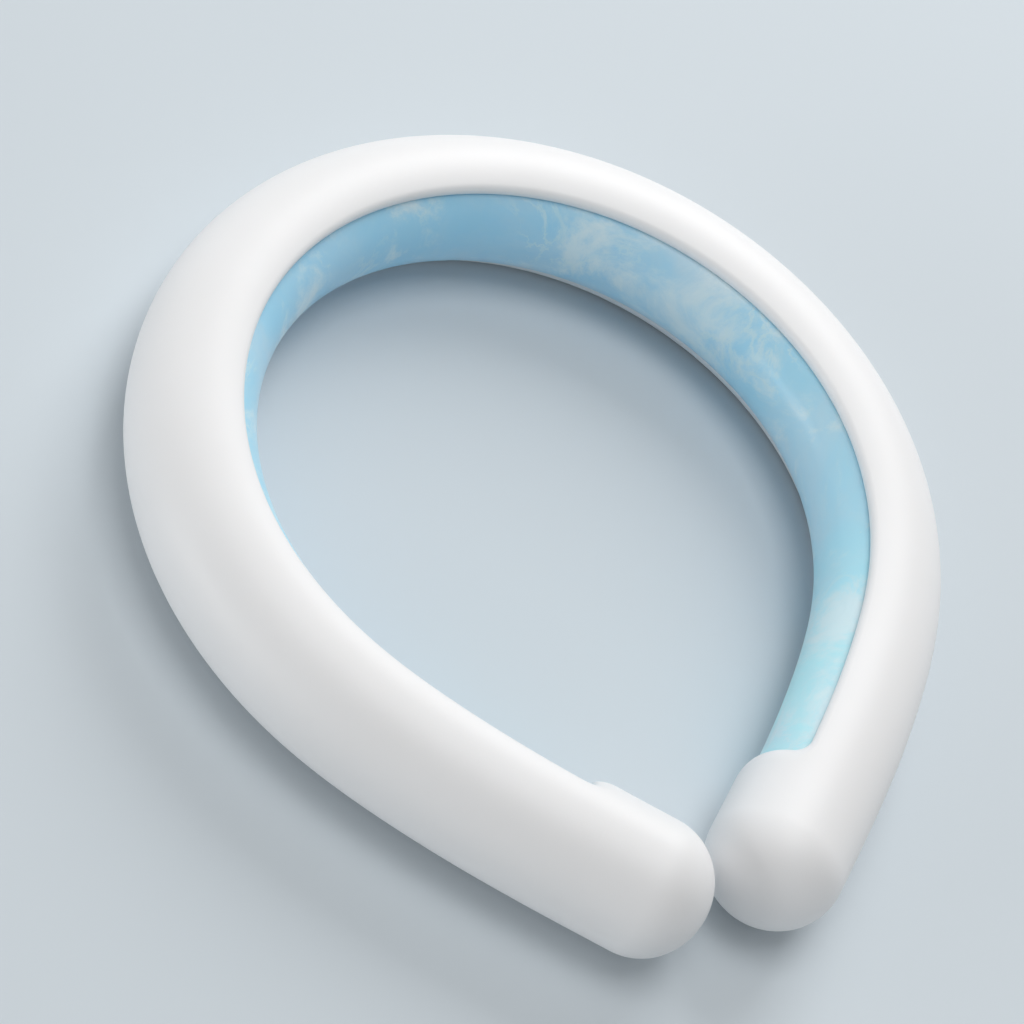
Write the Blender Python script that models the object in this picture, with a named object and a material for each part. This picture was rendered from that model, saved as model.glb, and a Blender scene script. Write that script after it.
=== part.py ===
"""A cooling neck ring: a gel-filled tube in a soft white cover, lying flat on a table.

The ring is an open loop, alike on both sides of its middle plane. Its centreline lies level, and every section
of the cover and of the tube is a circle about it. The cover leaves a long window along the ring's inner side,
where the tube touches the neck, and it closes over both ends of the tube. Units are metres, +Z is up, and the
ring opens towards -Y.
"""

import collections
import math

import bpy
import numpy as np

ARM_LENGTH = 0.2212  # along the centreline, from the middle of the back to the end of one arm
TIP_GAP = 0.003  # between the two tips
COVER_RADIUS = 0.014
TIP_LENGTH = 0.0132  # how far the domed tip reaches past the arm's end
COVER_WALL = 0.0019
GEL_CLEARANCE = 0.0003
CLOSED_LENGTH = 0.018  # of each arm's end, that the cover wraps all round
WINDOW_HALF_ANGLE = math.radians(63)  # from the inward direction to the window's edge
WINDOW_CORNER = 0.003  # radius of the window's four corners
SHOULDER_ROLL = 0.0045  # length of the lip's roll at each end of the window, where it is gentler than at the sides

# How sharply the centreline bends, against its bend beside the back. The place is a share of ARM_LENGTH from the
# middle of the back.
Bend = collections.namedtuple("Bend", "place bend")
BENDS = (
    Bend(place=0.00, bend=0.93),
    Bend(place=0.30, bend=1.00),
    Bend(place=0.50, bend=1.08),
    Bend(place=0.65, bend=0.94),
    Bend(place=0.80, bend=0.29),
    Bend(place=1.00, bend=0.04),
)

# How finely the round shapes are divided
PATH_STEPS = 600
SIDES = 24  # of a full section, with one flat side underneath, on which the ring rests
WINDOW_SPANS = 52
CORNER_SPANS = 3
CLOSED_SPANS = 3
DOME_SPANS = 4
FRONT_SPANS = 7  # across the window
EDGE_SPANS = 2  # between the window's edge and the top or the bottom side
LIP_SPANS = 3  # round the window's lip
SIDE_ANGLE = 2 * math.pi / SIDES

COVER_WHITE = (0.88, 0.89, 0.90, 1.0)
GEL_BLUE = (0.33, 0.66, 0.88, 1.0)


def eased(share):
    """A share from 0 to 1 that starts and ends slowly."""
    share = np.clip(share, 0, 1)
    return share * share * (3 - 2 * share)


def arm_for(turn):
    """Centreline points and headings of the right arm, from the middle of the back, if it turns this far in all."""
    place = np.linspace(0, 1, PATH_STEPS + 1)
    rows = np.array(BENDS)
    row = np.clip(np.searchsorted(rows[:, 0], place, side="right") - 1, 0, len(BENDS) - 2)
    ease = eased((place - rows[row, 0]) / (rows[row + 1, 0] - rows[row, 0]))
    bend = rows[row, 1] * (1 - ease) + rows[row + 1, 1] * ease
    turned = np.append(0, np.cumsum(bend[1:] + bend[:-1]))
    heading = -turn * turned / turned[-1]
    steps = np.stack([np.cos(heading), np.sin(heading)], axis=1)
    middles = (steps[1:] + steps[:-1]) / 2 * ARM_LENGTH / PATH_STEPS
    return np.vstack([np.zeros(2), np.cumsum(middles, axis=0)]), heading


def tip_reach(heading, direction):
    """How far the domed tip reaches from the arm's end in a direction, which is an angle as the heading is."""
    along = TIP_LENGTH * math.cos(direction - heading)
    across = COVER_RADIUS * math.sin(direction - heading)
    return math.hypot(along, across)


def closing_turn():
    """The turn that brings the two tips TIP_GAP apart, by halving the range that holds it."""
    low, high = math.radians(60), math.radians(200)
    while high - low > 1e-9:
        turn = (low + high) / 2
        points, heading = arm_for(turn)
        apart = 2 * (points[-1, 0] - tip_reach(heading[-1], math.pi))
        low, high = (turn, high) if apart > TIP_GAP else (low, turn)
    return low


ARM_POINTS, ARM_HEADING = arm_for(closing_turn())
BACK_Y = COVER_RADIUS
FRONT_Y = ARM_POINTS[-1, 1] - tip_reach(ARM_HEADING[-1], -math.pi / 2)
MIDDLE_Y = (BACK_Y + FRONT_Y) / 2


def on_sections(along, radius, angle):
    """Points at these radii and angles round the centreline, at signed distances along it from the middle of the
    back. The angle is 0 on the ring's inner side and a quarter turn on top. A radius is measured to the middle of
    a flat side."""
    along, radius, angle = np.broadcast_arrays(along, radius, angle)
    distance = np.abs(along)
    steps = np.linspace(0, ARM_LENGTH, PATH_STEPS + 1)
    x, y = (np.interp(distance, steps, ARM_POINTS[:, axis]) for axis in (0, 1))
    heading = np.interp(distance, steps, ARM_HEADING)
    beyond = np.maximum(distance - ARM_LENGTH, 0)
    x, y = x + beyond * np.cos(heading), y + beyond * np.sin(heading)
    corner = radius / math.cos(SIDE_ANGLE / 2)
    inwards = corner * np.cos(angle)
    side = np.where(along < 0, -1, 1)
    return np.stack(
        [
            side * (x + inwards * np.sin(heading)),
            y - inwards * np.cos(heading) - MIDDLE_Y,
            COVER_RADIUS + corner * np.sin(angle),
        ],
        axis=-1,
    )


def stations(depth, side_trim, end_trim):
    """Distance along the right arm, radius and window half angle at each section, from the middle of the back to
    the last one before the tip. The skin lies depth under the cover's outside, and its window is side_trim wider
    on both sides and end_trim longer at both ends."""
    corner_centre = ARM_LENGTH - CLOSED_LENGTH - WINDOW_CORNER
    corner_angle = WINDOW_HALF_ANGLE - WINDOW_CORNER / COVER_RADIUS
    quarter = np.linspace(0, math.pi / 2, CORNER_SPANS + 1)
    corner_width = (WINDOW_CORNER + side_trim) / COVER_RADIUS
    channel = np.linspace(0, corner_centre, WINDOW_SPANS // 2 + 1)[:-1]
    window_end = corner_centre + (WINDOW_CORNER + end_trim) * np.sin(quarter)
    closed = np.linspace(window_end[-1], ARM_LENGTH, CLOSED_SPANS + 1)[1:]
    dome = np.linspace(0, math.pi / 2, DOME_SPANS + 1)[1:-1]
    past_end = ARM_LENGTH + (TIP_LENGTH - depth) * np.sin(dome)
    along = np.concatenate([channel, window_end, closed, past_end])
    radius = np.full(len(along), COVER_RADIUS - depth)
    radius[len(along) - len(dome) :] *= np.cos(dome)
    edge = np.full(len(along), corner_angle)
    edge[: len(channel)] += corner_width
    edge[len(channel) : len(channel) + len(quarter)] += corner_width * np.cos(quarter)
    return along, radius, edge


def both_arms(half, sign=1):
    """A row of values along the whole ring from its values along the right arm."""
    return np.concatenate([sign * half[:0:-1], half])


def cover_skin(depth, side_trim, end_trim):
    """Points of one skin of the cover, a row for each section and a column for each line along the ring: from the
    window's upper edge over the top and the outer side to its lower edge, and on across the window."""
    along, radius, edge = stations(depth, side_trim, end_trim)
    along, radius, edge = both_arms(along, -1), both_arms(radius), both_arms(edge)
    top = math.pi / 2 - SIDE_ANGLE / 2
    share = np.linspace(0, 1, EDGE_SPANS + 1)[:-1]
    upper = edge[:, None] + (top - edge[:, None]) * share
    back = np.arange(top, 2 * math.pi - top + SIDE_ANGLE / 2, SIDE_ANGLE)
    lower = 2 * math.pi - upper[:, ::-1]
    across = 2 * math.pi - edge[:, None] * np.linspace(1, -1, FRONT_SPANS + 1)[1:-1]
    angle = np.hstack([upper, np.tile(back, (len(along), 1)), lower, across])
    tip = both_arms(np.array([0.0, ARM_LENGTH + TIP_LENGTH - depth]), -1)[[0, 2]]
    return on_sections(along[:, None], radius[:, None], angle), on_sections(tip, 0.0, 0.0)


def grid_faces(number, first, second):
    """Quads between neighbouring rows and columns of a numbered grid, for the given rows and columns."""
    after = (second + 1) % number.shape[1]
    corners = [number[first, second], number[first + 1, second], number[first + 1, after], number[first, after]]
    return np.stack(corners, axis=-1).reshape(-1, 4).tolist()


def tip_faces(ring, tip, right):
    """Triangles from the last ring of an arm to its tip."""
    after = np.roll(ring, -1)
    if right:
        return [[int(a), tip, int(b)] for a, b in zip(ring, after)]
    return [[tip, int(a), int(b)] for a, b in zip(ring, after)]


def add_object(name, points, faces, colour, roughness):
    """One closed body with its own material, from points and faces. Points that no face uses are dropped."""
    used, renumbered = np.unique(np.concatenate([np.array(face) for face in faces]), return_inverse=True)
    ends = np.cumsum([len(face) for face in faces])[:-1]
    mesh = bpy.data.meshes.new(name)
    mesh.from_pydata(points[used].tolist(), [], [face.tolist() for face in np.split(renumbered, ends)])
    mesh.validate()
    mesh.shade_smooth()
    mesh.set_sharp_from_angle(angle=math.radians(40))
    material = bpy.data.materials.new(name)
    material.use_nodes = True
    shader = material.node_tree.nodes["Principled BSDF"]
    shader.inputs["Base Color"].default_value = colour
    shader.inputs["Roughness"].default_value = roughness
    mesh.materials.append(material)
    made = bpy.data.objects.new(name, mesh)
    bpy.context.scene.collection.objects.link(made)
    return made


def make_cover():
    """The outer skin, the inner skin, and between them a rounded lip all round the window."""
    turns = np.linspace(0, math.pi / 2, LIP_SPANS + 1)
    down, back = COVER_WALL * (1 - np.cos(turns)), 1 - np.sin(turns)
    skins = [cover_skin(d, COVER_WALL * b, SHOULDER_ROLL * b) for d, b in zip(down, back)]
    rows, columns = skins[0][0].shape[:2]
    points = np.concatenate([np.vstack([skin.reshape(-1, 3), tips]) for skin, tips in skins])
    per_skin = rows * columns + 2
    number = np.arange(rows * columns).reshape(rows, columns)
    left_end = DOME_SPANS - 1 + CLOSED_SPANS
    right_end = rows - 1 - left_end
    lower_edge = columns - FRONT_SPANS
    row, column = np.meshgrid(np.arange(rows - 1), np.arange(columns), indexing="ij")
    covered = (column < lower_edge) | (row < left_end) | (row >= right_end)
    outside = grid_faces(number, row[covered], column[covered])
    outside += tip_faces(number[0], rows * columns, right=False)
    outside += tip_faces(number[-1], rows * columns + 1, right=True)
    inside = [[corner + LIP_SPANS * per_skin for corner in face[::-1]] for face in outside]
    front = np.append(np.arange(lower_edge, columns), 0)
    loop = np.concatenate(
        [
            number[left_end:right_end, 0],
            number[right_end, front[::-1]][:-1],
            number[left_end + 1 : right_end + 1, lower_edge][::-1],
            number[left_end, front][:-1],
        ]
    )
    lips = loop + per_skin * np.arange(LIP_SPANS + 1)[:, None]
    row, column = np.meshgrid(np.arange(LIP_SPANS), np.arange(len(loop)), indexing="ij")
    lip = grid_faces(lips, row.ravel(), column.ravel())
    return add_object("outer_cover", points, outside + inside + lip, COVER_WHITE, 0.5)


def make_gel_tube():
    """A round closed tube, which fills the cover with GEL_CLEARANCE all round."""
    depth = COVER_WALL + GEL_CLEARANCE
    along, radius, _ = stations(depth, 0.0, 0.0)
    along, radius = both_arms(along, -1), both_arms(radius)
    angle = (np.arange(SIDES) + 0.5) * SIDE_ANGLE
    tube = on_sections(along[:, None], radius[:, None], angle[None, :])
    reach = ARM_LENGTH + TIP_LENGTH - depth
    tips = on_sections(np.array([-reach, reach]), 0.0, 0.0)
    points = np.vstack([tube.reshape(-1, 3), tips])
    number = np.arange(len(along) * SIDES).reshape(len(along), SIDES)
    row, column = np.meshgrid(np.arange(len(along) - 1), np.arange(SIDES), indexing="ij")
    faces = grid_faces(number, row.ravel(), column.ravel())
    faces += tip_faces(number[0], number.size, right=False)
    faces += tip_faces(number[-1], number.size + 1, right=True)
    return add_object("gel_tube", points, faces, GEL_BLUE, 0.25)


for old in list(bpy.data.objects):
    bpy.data.objects.remove(old)
make_cover()
make_gel_tube()
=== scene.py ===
"""The looks of a cooling neck ring on a pale floor: a blue marbled gel tube in a white moulded cover. Lengths
are in metres where no name or comment says otherwise."""

import collections
import math

import bpy
import numpy as np
from mathutils import Matrix, Vector


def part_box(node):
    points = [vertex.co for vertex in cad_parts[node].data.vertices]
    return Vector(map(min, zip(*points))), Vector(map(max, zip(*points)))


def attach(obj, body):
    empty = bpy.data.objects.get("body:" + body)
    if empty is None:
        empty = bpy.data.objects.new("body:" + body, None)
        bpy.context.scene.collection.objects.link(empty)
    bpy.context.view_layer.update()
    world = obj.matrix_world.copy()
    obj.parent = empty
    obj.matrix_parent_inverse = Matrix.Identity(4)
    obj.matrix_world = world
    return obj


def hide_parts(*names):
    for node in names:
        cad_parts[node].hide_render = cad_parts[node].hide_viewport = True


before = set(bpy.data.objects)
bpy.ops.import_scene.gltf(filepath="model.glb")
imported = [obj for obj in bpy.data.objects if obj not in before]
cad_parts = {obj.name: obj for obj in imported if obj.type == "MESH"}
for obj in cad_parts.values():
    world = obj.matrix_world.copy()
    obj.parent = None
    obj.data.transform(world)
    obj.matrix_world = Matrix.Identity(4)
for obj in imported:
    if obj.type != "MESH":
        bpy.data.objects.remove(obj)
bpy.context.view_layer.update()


# The ring's line. The real ring is moulded in the open teardrop that it keeps off the neck: a round back,
# and two arms that close until the tips nearly touch. Cover and tube are both round sections carried along
# this line. A bend's place is a share of the arm's length, and its size is relative to the other bends.

ARM_LENGTH = 0.2212
TIP_GAP = 0.003
TIP_LENGTH = 0.0132
cover_low, cover_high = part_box("outer_cover")
COVER_RADIUS = (cover_high[2] - cover_low[2]) / 2
CENTRE_HEIGHT = cover_low[2] + COVER_RADIUS
BACK_Y = cover_high[1] - COVER_RADIUS
LINE_STEPS = 2000
TURN_RANGE = (math.radians(60), math.radians(200))
TURN_PRECISION = 1e-9

Bend = collections.namedtuple("Bend", "place bend")
BENDS = (
    Bend(place=0.00, bend=0.93),
    Bend(place=0.30, bend=1.00),
    Bend(place=0.50, bend=1.08),
    Bend(place=0.65, bend=0.94),
    Bend(place=0.80, bend=0.29),
    Bend(place=1.00, bend=0.04),
)


def eased(share):
    """3 s^2 - 2 s^3, with s held between 0 and 1."""
    share = np.clip(share, 0, 1)
    return share * share * (3 - 2 * share)


def arm_for(turn):
    """Points and headings of the right arm's line. Its heading falls by turn in all, in step with the running
    sum of its bend, which eases from one row of BENDS to the next, and its points are the running sum of
    short steps along the heading."""
    place = np.linspace(0, 1, LINE_STEPS + 1)
    rows = np.array(BENDS)
    row = np.clip(np.searchsorted(rows[:, 0], place, side="right") - 1, 0, len(BENDS) - 2)
    ease = eased((place - rows[row, 0]) / (rows[row + 1, 0] - rows[row, 0]))
    bend = rows[row, 1] * (1 - ease) + rows[row + 1, 1] * ease
    turned = np.append(0, np.cumsum(bend[1:] + bend[:-1]))
    heading = -turn * turned / turned[-1]
    steps = np.stack([np.cos(heading), np.sin(heading)], axis=1)
    middles = (steps[1:] + steps[:-1]) / 2 * ARM_LENGTH / LINE_STEPS
    return np.vstack([np.zeros(2), np.cumsum(middles, axis=0)]), heading


def closed_arm():
    """The arm whose turn brings the two domed tips TIP_GAP apart, found by halving the range of turns."""
    low, high = TURN_RANGE
    while high - low > TURN_PRECISION:
        turn = (low + high) / 2
        points, heading = arm_for(turn)
        reach = math.hypot(TIP_LENGTH * math.cos(heading[-1]), COVER_RADIUS * math.sin(heading[-1]))
        low, high = (turn, high) if 2 * (points[-1, 0] - reach) > TIP_GAP else (low, turn)
    return points, heading


ARM_POINTS, ARM_HEADING = closed_arm()


def on_sections(along, radius, angle):
    """Points at a radius and an angle round the line, at a signed distance along it: the line's point, plus
    the radius times the cosine of the angle towards the inside of the ring, and times its sine upwards. Past
    the arm's end the line runs on straight."""
    along, radius, angle = np.broadcast_arrays(along, radius, angle)
    distance = np.abs(along)
    steps = np.linspace(0, ARM_LENGTH, LINE_STEPS + 1)
    x, y = (np.interp(distance, steps, ARM_POINTS[:, axis]) for axis in (0, 1))
    heading = np.interp(distance, steps, ARM_HEADING)
    beyond = np.maximum(distance - ARM_LENGTH, 0)
    inwards = radius * np.cos(angle)
    x = x + beyond * np.cos(heading) + inwards * np.sin(heading)
    y = y + beyond * np.sin(heading) - inwards * np.cos(heading)
    height = CENTRE_HEIGHT + radius * np.sin(angle)
    return np.stack([np.where(along < 0, -x, x), BACK_Y + y, height], axis=-1)


def both_arms(half, sign=1):
    """Values along the whole ring from the right arm's, mirrored about the middle of the back."""
    return np.concatenate([sign * half[:0:-1], half])


def grid_faces(number, row, column):
    """Quads between neighbouring rows and columns of a numbered grid whose last column meets its first."""
    after = (column + 1) % number.shape[1]
    corners = [number[row, column], number[row + 1, column], number[row + 1, after], number[row, after]]
    return np.stack(corners, axis=-1).reshape(-1, 4)


def tip_faces(ring, tip, right):
    """Triangles from an arm's last ring to its tip, as quads whose last two corners are the same point."""
    after = np.roll(ring, -1)
    tips = np.full(len(ring), tip)
    return np.stack([ring, tips, after, after] if right else [tips, ring, after, after], axis=-1)


def smooth_mesh(name, points, quads):
    """A smooth-shaded object from points and quads, and the numbers of the points that it keeps. Points that
    no face uses are dropped, and a quad whose last two corners are the same is a triangle."""
    used, corners = np.unique(quads, return_inverse=True)
    corners = corners.reshape(quads.shape)
    sides = np.where(quads[:, 2] == quads[:, 3], 3, 4)
    kept = np.arange(4) < sides[:, None]
    mesh = bpy.data.meshes.new(name)
    mesh.vertices.add(len(used))
    mesh.vertices.foreach_set("co", points[used].astype(np.float32).ravel())
    mesh.loops.add(int(sides.sum()))
    mesh.loops.foreach_set("vertex_index", corners[kept].astype(np.int32))
    mesh.polygons.add(len(quads))
    mesh.polygons.foreach_set("loop_start", (np.cumsum(sides) - sides).astype(np.int32))
    mesh.update(calc_edges=True)
    mesh.validate()
    mesh.shade_smooth()
    made = bpy.data.objects.new(name, mesh)
    bpy.context.scene.collection.objects.link(made)
    return made, used


# Outer cover. One soft moulded piece in white thermoplastic elastomer, a channel that grips the tube from
# outside and closes over its ends. Its lip is rounded all round the window, and rolls in more gently at the
# window's ends.

WALL = 0.0019
CLOSED_LENGTH = 0.018
WINDOW_HALF_ANGLE = math.radians(63)
WINDOW_CORNER = 0.003
SHOULDER_ROLL = 0.0045
WINDOW_SPANS = 320
CORNER_SPANS = 14
CLOSED_SPANS = 30
DOME_SPANS = 28
BACK_SPANS = 60
FRONT_SPANS = 24
LIP_SPANS = 10


def cover_stations(depth, side_trim, end_trim):
    """Distance, radius and window half angle of the sections along the right arm, at a depth under the
    outside. The window is widened by side_trim and lengthened by end_trim, and each corner is a quarter of an
    ellipse. Past the arm's end the radius follows a quarter of an ellipse down to the tip."""
    corner_centre = ARM_LENGTH - CLOSED_LENGTH - WINDOW_CORNER
    corner_angle = WINDOW_HALF_ANGLE - WINDOW_CORNER / COVER_RADIUS
    corner_width = (WINDOW_CORNER + side_trim) / COVER_RADIUS
    quarter = np.linspace(0, math.pi / 2, CORNER_SPANS + 1)
    channel = np.linspace(0, corner_centre, WINDOW_SPANS // 2 + 1)[:-1]
    window_end = corner_centre + (WINDOW_CORNER + end_trim) * np.sin(quarter)
    closed = np.linspace(window_end[-1], ARM_LENGTH, CLOSED_SPANS + 1)[1:]
    dome = np.linspace(0, math.pi / 2, DOME_SPANS + 1)[1:-1]
    along = np.concatenate([channel, window_end, closed, ARM_LENGTH + (TIP_LENGTH - depth) * np.sin(dome)])
    radius = np.full(len(along), COVER_RADIUS - depth)
    radius[-len(dome) :] *= np.cos(dome)
    edge = np.full(len(along), corner_angle)
    edge[: len(channel)] += corner_width
    edge[len(channel) : len(channel) + len(quarter)] += corner_width * np.cos(quarter)
    return along, radius, edge


def cover_skin(depth, side_trim, end_trim):
    """Points of one skin of the cover, with the two tips last, and its numbers of rows and columns. A row is
    a section, whose columns run from the window's upper edge over the top and the outer side to its lower
    edge in even steps, and then on across the window."""
    along, radius, edge = cover_stations(depth, side_trim, end_trim)
    along, radius, edge = both_arms(along, -1), both_arms(radius), both_arms(edge)
    back = edge[:, None] + 2 * (math.pi - edge[:, None]) * np.linspace(0, 1, BACK_SPANS + 1)
    front = 2 * math.pi - edge[:, None] * np.linspace(1, -1, FRONT_SPANS + 1)[1:-1]
    reach = ARM_LENGTH + TIP_LENGTH - depth
    tips = on_sections(np.array([-reach, reach]), 0.0, 0.0)
    skin = on_sections(along[:, None], radius[:, None], np.hstack([back, front]))
    return np.vstack([skin.reshape(-1, 3), tips]), skin.shape[:2]


def cover_mesh():
    """The outer skin, the inner skin turned to face the other way, and a lip between them: a quarter turn
    that goes down by the wall as one minus its cosine, and in towards the window as its sine."""
    turns = np.linspace(0, math.pi / 2, LIP_SPANS + 1)
    depths, trims = WALL * (1 - np.cos(turns)), 1 - np.sin(turns)
    skins = [cover_skin(depth, WALL * trim, SHOULDER_ROLL * trim) for depth, trim in zip(depths, trims)]
    rows, columns = skins[0][1]
    number = np.arange(rows * columns).reshape(rows, columns)
    per_skin = number.size + 2
    left_end = DOME_SPANS - 1 + CLOSED_SPANS
    right_end = rows - 1 - left_end
    row, column = np.meshgrid(np.arange(rows - 1), np.arange(columns), indexing="ij")
    covered = (column < BACK_SPANS) | (row < left_end) | (row >= right_end)
    outside = np.vstack(
        [
            grid_faces(number, row[covered], column[covered]),
            tip_faces(number[0], number.size, right=False),
            tip_faces(number[-1], number.size + 1, right=True),
        ]
    )
    inside = outside[:, [2, 1, 0, 3]] + LIP_SPANS * per_skin
    tips = outside[:, 2] == outside[:, 3]
    inside[tips] = outside[tips][:, [2, 1, 0, 0]] + LIP_SPANS * per_skin
    front = np.append(np.arange(BACK_SPANS, columns), 0)
    loop = np.concatenate(
        [
            number[left_end:right_end, 0],
            number[right_end, front[::-1]][:-1],
            number[left_end + 1 : right_end + 1, BACK_SPANS][::-1],
            number[left_end, front][:-1],
        ]
    )
    lips = loop + per_skin * np.arange(LIP_SPANS + 1)[:, None]
    row, column = np.meshgrid(np.arange(LIP_SPANS), np.arange(len(loop)), indexing="ij")
    lip = grid_faces(lips, row.ravel(), column.ravel())
    points = np.vstack([skin for skin, _ in skins])
    return smooth_mesh("moulded_cover", points, np.vstack([outside, inside, lip]))[0]


def linear(colour):
    """Linear red, green, blue and alpha of an sRGB hex colour."""
    values = np.array([int(colour[place : place + 2], 16) for place in (1, 3, 5)]) / 255
    values = np.where(values <= 0.04045, values / 12.92, ((values + 0.055) / 1.055) ** 2.4)
    return (*values.tolist(), 1.0)


# A Mix node's two colour inputs and its colour output by number, since their names aren't unique.
FIRST, SECOND, MIXED = 6, 7, 2
GRAIN_SIZE = 0.0005
FADING_SIZE = 0.025


def new_material(name):
    """A material with a Principled shader, and that shader."""
    material = bpy.data.materials.new(name)
    material.use_nodes = True
    return material, material.node_tree.nodes["Principled BSDF"]


def add_node(material, kind, inputs, **settings):
    """A node with its settings. Each input is a value, or the output socket of another node to link."""
    made = material.node_tree.nodes.new(kind)
    for name, value in settings.items():
        setattr(made, name, value)
    for socket, value in inputs.items():
        if isinstance(value, bpy.types.NodeSocket):
            material.node_tree.links.new(value, made.inputs[socket])
        else:
            made.inputs[socket].default_value = value
    return made


def satin_elastomer():
    """White thermoplastic elastomer from a finely spark-eroded mould: satin, a little soft in its shadows,
    with a grain that only shows as a faint break in the gloss. The grain is drawn coarser than the real one,
    which is too fine to show, and a faint broad change of tint lies over it."""
    material, shader = new_material("satin_white_elastomer")
    place = add_node(material, "ShaderNodeTexCoord", {}).outputs["Object"]
    grain = add_node(
        material,
        "ShaderNodeTexNoise",
        {"Vector": place, "Scale": 1 / GRAIN_SIZE, "Detail": 2.0, "Roughness": 0.6},
    )
    cloudy = add_node(
        material, "ShaderNodeTexNoise", {"Vector": place, "Scale": 1 / FADING_SIZE, "Detail": 3.0}
    )
    tint = add_node(
        material,
        "ShaderNodeMix",
        {"Factor": cloudy.outputs["Fac"], FIRST: linear("#F3F3F3"), SECOND: linear("#F8F8F9")},
        data_type="RGBA",
    )
    dull = add_node(
        material,
        "ShaderNodeMapRange",
        {"Value": grain.outputs["Fac"], "To Min": 0.42, "To Max": 0.52},
    )
    bump = add_node(
        material,
        "ShaderNodeBump",
        {"Height": grain.outputs["Fac"], "Strength": 0.08, "Distance": 0.0001},
    )
    shader.inputs["Subsurface Weight"].default_value = 0.12
    shader.inputs["Subsurface Radius"].default_value = (1.0, 0.95, 0.9)
    shader.inputs["Subsurface Scale"].default_value = 0.002
    shader.inputs["IOR"].default_value = 1.49
    links = material.node_tree.links
    links.new(tint.outputs[MIXED], shader.inputs["Base Color"])
    links.new(dull.outputs["Result"], shader.inputs["Roughness"])
    links.new(bump.outputs["Normal"], shader.inputs["Normal"])
    return material


cover = cover_mesh()
cover.data.materials.append(satin_elastomer())
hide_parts("outer_cover")
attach(cover, "root")


# Gel tube. A round tube of clear film filled with phase-change gel, sky blue with frost-like white marbling,
# and pale aqua towards the tips. It lies in the cover, bare along the window, and its ends are domed.

gel_low, gel_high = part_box("gel_tube")
GEL_DEPTH = COVER_RADIUS - (gel_high[2] - gel_low[2]) / 2
GEL_SIDES = 96
DEPTH_SIZE = 0.040
VEIL_SIZE = 0.033
CLOUD_SIZE = 0.020
FOLD_SIZE = 0.0167
GATHER_SIZE = 0.025
MARBLING_SEED = 8.5

# Along the ring from the middle of the back, in millimetres: where the blue turns lighter and then aqua,
# where the thicker haze of the right arm comes in and goes, and where the clouds thicken near the tips.
# The lighter blue of the arms is partly the gel's own colour and partly painted light, standing in for the
# brighter light on their inner faces.
ARM_PALING_AND_LIGHT_FROM, ARM_PALING_AND_LIGHT_TO = 30.0, 120.0
AQUA_FROM, AQUA_TO = 120.0, 190.0
HAZE_FROM, HAZE_FULL = -20.0, 20.0
HAZE_FADES, HAZE_ENDS = 60.0, 95.0
TIP_CLOUDS_FROM, TIP_CLOUDS_TO = 145.0, 185.0


def gel_mesh():
    """Full circles carried along the ring's line, GEL_DEPTH under the cover's outside. Each point keeps its
    signed distance from the middle of the back, in millimetres, for the colour."""
    along, radius, _ = cover_stations(GEL_DEPTH, 0.0, 0.0)
    along, radius = both_arms(along, -1), both_arms(radius)
    angle = np.arange(GEL_SIDES) * 2 * math.pi / GEL_SIDES
    tube = on_sections(along[:, None], radius[:, None], angle[None, :])
    reach = ARM_LENGTH + TIP_LENGTH - GEL_DEPTH
    points = np.vstack([tube.reshape(-1, 3), on_sections(np.array([-reach, reach]), 0.0, 0.0)])
    number = np.arange(len(along) * GEL_SIDES).reshape(len(along), GEL_SIDES)
    row, column = np.meshgrid(np.arange(len(along) - 1), np.arange(GEL_SIDES), indexing="ij")
    quads = np.vstack(
        [
            grid_faces(number, row.ravel(), column.ravel()),
            tip_faces(number[0], number.size, right=False),
            tip_faces(number[-1], number.size + 1, right=True),
        ]
    )
    made, used = smooth_mesh("marbled_gel_tube", points, quads)
    distance = np.append(np.repeat(along, GEL_SIDES), [-reach, reach])[used] * 1000
    made.data.attributes.new("along_mm", "FLOAT", "POINT").data.foreach_set("value", distance)
    return made


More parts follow.
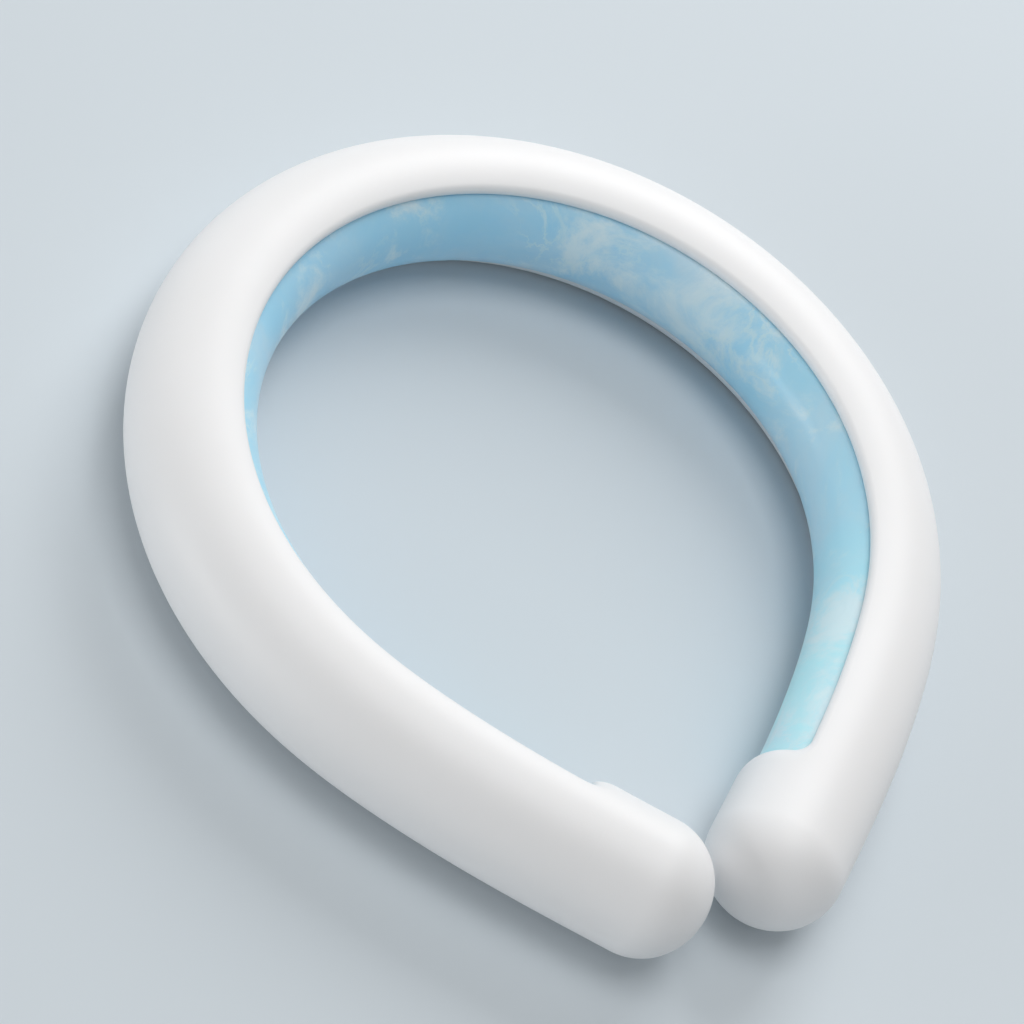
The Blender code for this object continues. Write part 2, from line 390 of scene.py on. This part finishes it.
def marbled_gel():
    """Pigmented gel seen through clear film: sky blue in soft broad changes of depth, lighter along the arms
    and aqua near the tips. The arms' lighter blue is partly the gel's own colour and partly painted light,
    standing in for the brighter light on their inner faces. Hazy veils lie in it, thickest past the back on
    the right, with feathered clouds over them, and frosty wisps where a noise crosses its middle."""
    material, shader = new_material("marbled_sky_blue_gel")
    place = add_node(material, "ShaderNodeTexCoord", {}).outputs["Object"]
    along = add_node(material, "ShaderNodeAttribute", {}, attribute_name="along_mm").outputs["Fac"]
    from_back = add_node(material, "ShaderNodeMath", {0: along}, operation="ABSOLUTE").outputs[0]
    depth = add_node(
        material, "ShaderNodeTexNoise", {"Vector": place, "Scale": 1 / DEPTH_SIZE, "Detail": 2.0}
    )
    blue = add_node(
        material,
        "ShaderNodeMix",
        {"Factor": depth.outputs["Fac"], FIRST: linear("#9CD3F3"), SECOND: linear("#ADE3FD")},
        data_type="RGBA",
    )
    # Painted light, in part: the blue is made lighter along the arms, standing in for the light on their
    # inner faces.
    arm_paling_and_light = add_node(
        material,
        "ShaderNodeMapRange",
        {"Value": from_back, "From Min": ARM_PALING_AND_LIGHT_FROM, "From Max": ARM_PALING_AND_LIGHT_TO, "To Max": 0.9},
        interpolation_type="SMOOTHSTEP",
    )
    paler_with_painted_light = add_node(
        material,
        "ShaderNodeMix",
        {"Factor": arm_paling_and_light.outputs["Result"], FIRST: blue.outputs[MIXED], SECOND: linear("#B6E7FF")},
        data_type="RGBA",
    )
    near_tip = add_node(
        material,
        "ShaderNodeMapRange",
        {"Value": from_back, "From Min": AQUA_FROM, "From Max": AQUA_TO, "To Max": 0.9},
        interpolation_type="SMOOTHSTEP",
    )
    aqua = add_node(
        material,
        "ShaderNodeMix",
        {"Factor": near_tip.outputs["Result"], FIRST: paler_with_painted_light.outputs[MIXED], SECOND: linear("#BEF4FF")},
        data_type="RGBA",
    )

    veil = add_node(
        material,
        "ShaderNodeTexNoise",
        {
            "Vector": place,
            "W": MARBLING_SEED,
            "Scale": 1 / VEIL_SIZE,
            "Detail": 10.0,
            "Roughness": 0.6,
            "Distortion": 0.5,
        },
        noise_dimensions="4D",
    )
    past_back = add_node(
        material,
        "ShaderNodeMapRange",
        {"Value": along, "From Min": HAZE_FROM, "From Max": HAZE_FULL, "To Max": 0.1},
        interpolation_type="SMOOTHSTEP",
    )
    before_arm = add_node(
        material,
        "ShaderNodeMapRange",
        {"Value": along, "From Min": HAZE_ENDS, "From Max": HAZE_FADES},
        interpolation_type="SMOOTHSTEP",
    )
    thicker = add_node(
        material,
        "ShaderNodeMath",
        {0: past_back.outputs["Result"], 1: before_arm.outputs["Result"], 2: veil.outputs["Fac"]},
        operation="MULTIPLY_ADD",
    )
    hazy = add_node(
        material,
        "ShaderNodeMapRange",
        {"Value": thicker.outputs[0], "From Min": 0.45, "From Max": 0.72, "To Max": 0.7},
        interpolation_type="SMOOTHSTEP",
    )
    veiled = add_node(
        material,
        "ShaderNodeMix",
        {"Factor": hazy.outputs["Result"], FIRST: aqua.outputs[MIXED], SECOND: linear("#CFE7F5")},
        data_type="RGBA",
    )

    cloud = add_node(
        material,
        "ShaderNodeTexNoise",
        {
            "Vector": place,
            "W": MARBLING_SEED,
            "Scale": 1 / CLOUD_SIZE,
            "Detail": 9.0,
            "Roughness": 0.66,
            "Distortion": 0.8,
        },
        noise_dimensions="4D",
    )
    at_tip = add_node(
        material,
        "ShaderNodeMapRange",
        {"Value": from_back, "From Min": TIP_CLOUDS_FROM, "From Max": TIP_CLOUDS_TO, "To Max": 0.05},
        interpolation_type="SMOOTHSTEP",
    )
    fuller = add_node(
        material,
        "ShaderNodeMath",
        {0: cloud.outputs["Fac"], 1: at_tip.outputs["Result"]},
        operation="ADD",
    )
    cloudy = add_node(
        material,
        "ShaderNodeMapRange",
        {"Value": fuller.outputs[0], "From Min": 0.50, "From Max": 0.66, "To Max": 0.75},
        interpolation_type="SMOOTHSTEP",
    )
    clouded = add_node(
        material,
        "ShaderNodeMix",
        {"Factor": cloudy.outputs["Result"], FIRST: veiled.outputs[MIXED], SECOND: linear("#E4F4FC")},
        data_type="RGBA",
    )

    fold = add_node(
        material,
        "ShaderNodeTexNoise",
        {
            "Vector": place,
            "W": MARBLING_SEED,
            "Scale": 1 / FOLD_SIZE,
            "Detail": 6.0,
            "Roughness": 0.62,
            "Distortion": 1.0,
        },
        noise_dimensions="4D",
    )
    off_middle = add_node(
        material, "ShaderNodeMath", {0: fold.outputs["Fac"], 1: 0.5}, operation="SUBTRACT"
    )
    ridge = add_node(material, "ShaderNodeMath", {0: off_middle.outputs[0]}, operation="ABSOLUTE")
    wisp = add_node(
        material,
        "ShaderNodeMapRange",
        {"Value": ridge.outputs[0], "From Min": 0.03, "From Max": 0.0, "To Max": 0.65},
        interpolation_type="SMOOTHSTEP",
    )
    gathered = add_node(
        material,
        "ShaderNodeTexNoise",
        {"Vector": place, "W": MARBLING_SEED, "Scale": 1 / GATHER_SIZE, "Detail": 3.0},
        noise_dimensions="4D",
    )
    sparse = add_node(
        material,
        "ShaderNodeMapRange",
        {"Value": gathered.outputs["Fac"], "From Min": 0.48, "From Max": 0.62},
        interpolation_type="SMOOTHSTEP",
    )
    wisps = add_node(
        material,
        "ShaderNodeMath",
        {0: wisp.outputs["Result"], 1: sparse.outputs["Result"]},
        operation="MULTIPLY",
    )
    marbled = add_node(
        material,
        "ShaderNodeMix",
        {"Factor": wisps.outputs[0], FIRST: clouded.outputs[MIXED], SECOND: linear("#D6EFF9")},
        data_type="RGBA",
    )
    material.node_tree.links.new(marbled.outputs[MIXED], shader.inputs["Base Color"])
    shader.inputs["Roughness"].default_value = 0.32
    shader.inputs["IOR"].default_value = 1.45
    shader.inputs["Subsurface Weight"].default_value = 0.5
    shader.inputs["Subsurface Radius"].default_value = (1.0, 1.0, 1.0)
    shader.inputs["Subsurface Scale"].default_value = 0.003
    return material


gel = gel_mesh()
gel.data.materials.append(marbled_gel())
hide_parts("gel_tube")
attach(gel, "root")


# Floor. A plain painted board under the ring, so wide that its edges stay out of the picture.

FLOOR_WIDTH = 6.0
PAINT_PATCH_SIZE = 1 / 3


def pale_floor():
    """Painted board in a pale blue, with a faint broad unevenness as rolled paint has."""
    material, shader = new_material("pale_painted_floor")
    place = add_node(material, "ShaderNodeTexCoord", {}).outputs["Object"]
    uneven = add_node(
        material, "ShaderNodeTexNoise", {"Vector": place, "Scale": 1 / PAINT_PATCH_SIZE, "Detail": 2.0}
    )
    paint = add_node(
        material,
        "ShaderNodeMix",
        {"Factor": uneven.outputs["Fac"], FIRST: linear("#D2DBE1"), SECOND: linear("#D5DEE4")},
        data_type="RGBA",
    )
    material.node_tree.links.new(paint.outputs[MIXED], shader.inputs["Base Color"])
    shader.inputs["Roughness"].default_value = 0.8
    return material


corners = np.array([(-1, -1, 0), (1, -1, 0), (1, 1, 0), (-1, 1, 0)]) * FLOOR_WIDTH / 2
floor, _ = smooth_mesh("floor", corners, np.array([[0, 1, 2, 3]]))
floor.data.materials.append(pale_floor())


# Camera. A long lens from beside the left arm, above the floor, turned about its own axis so that the
# opening of the ring points to the lower right.

DISTANCE = 0.921
AZIMUTH, ELEVATION, ROLL = (math.radians(angle) for angle in (-50.84, 49.04, 34.94))
AIM = Vector((-0.0088, BACK_Y - 0.0743, CENTRE_HEIGHT))
FOCAL_PIXELS = 4660
PICTURE_PIXELS = 1024
SENSOR_MM = 36
NEAREST_SHOWN = 0.01

camera = bpy.data.objects.new("camera", bpy.data.cameras.new("camera"))
camera.data.sensor_width = SENSOR_MM
camera.data.lens = SENSOR_MM * FOCAL_PIXELS / PICTURE_PIXELS
camera.data.clip_start = NEAREST_SHOWN
bpy.context.scene.collection.objects.link(camera)
behind = Vector(
    (
        math.sin(AZIMUTH) * math.cos(ELEVATION),
        -math.cos(AZIMUTH) * math.cos(ELEVATION),
        math.sin(ELEVATION),
    )
)
level = Vector((0, 0, 1)).cross(behind).normalized()
upright = behind.cross(level)
right = math.cos(ROLL) * level + math.sin(ROLL) * upright
up = behind.cross(right)
turned = Matrix((right, up, behind)).transposed().to_4x4()
camera.matrix_world = Matrix.Translation(AIM + DISTANCE * behind) @ turned
bpy.context.scene.camera = camera


# Light. A broad soft key light above the ring past the back of the right arm, a weaker one overhead, a large
# one far beyond the left arm, whose lower half the floor hides, and an even white surround.

SURROUND_STRENGTH = 0.33


def soft_light(name, towards, distance, width, power):
    """A square area light at a distance from the ring in a direction, facing it, with its power in watts."""
    light = bpy.data.objects.new(name, bpy.data.lights.new(name, "AREA"))
    light.data.size = width
    light.data.energy = power
    towards = towards.normalized()
    light.location = towards * distance
    light.rotation_euler = towards.to_track_quat("Z", "Y").to_euler()
    bpy.context.scene.collection.objects.link(light)


soft_light("key", Vector((1, 1, 1)), distance=1.6, width=0.9, power=13.5)
soft_light("top", Vector((0, 0, 1)), distance=1.6, width=0.9, power=7.5)
soft_light("side", Vector((-7, 1, 0)), distance=2.8, width=1.6, power=40)
world = bpy.data.worlds.new("surround")
world.use_nodes = True
world.node_tree.nodes["Background"].inputs["Color"].default_value = linear("#FFFFFF")
world.node_tree.nodes["Background"].inputs["Strength"].default_value = SURROUND_STRENGTH
bpy.context.scene.world = world
bpy.context.scene.view_settings.view_transform = "Standard"
